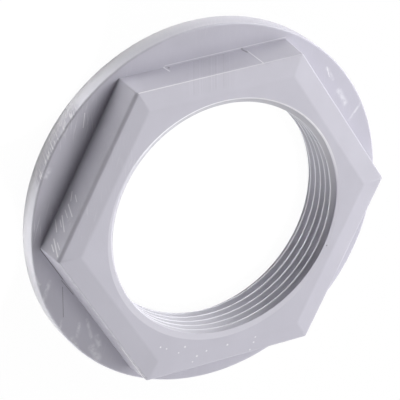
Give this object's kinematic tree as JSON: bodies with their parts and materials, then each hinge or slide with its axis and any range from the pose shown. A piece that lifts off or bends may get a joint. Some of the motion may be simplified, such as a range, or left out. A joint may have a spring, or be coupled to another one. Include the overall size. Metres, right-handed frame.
{
  "type": "lock nut",
  "caption": "Moulded plastic lock nut: a hexagon with a bevelled front on a round flange, with a pipe thread right through it.",
  "frame": {"origin": "centre of the bore at the flange's back face, which the nut lies on", "axes": "+Z along the bore, out of the hexagon's bevelled front; +X through a corner of the hexagon"},
  "size_m": [0.089, 0.089, 0.014],
  "materials": {
    "moulded_plastic": "satin as moulded, cool light grey right through, lightly scuffed"
  },
  "bodies": {
    "root": {"lock_nut": "moulded_plastic"}
  },
  "joints": []
}
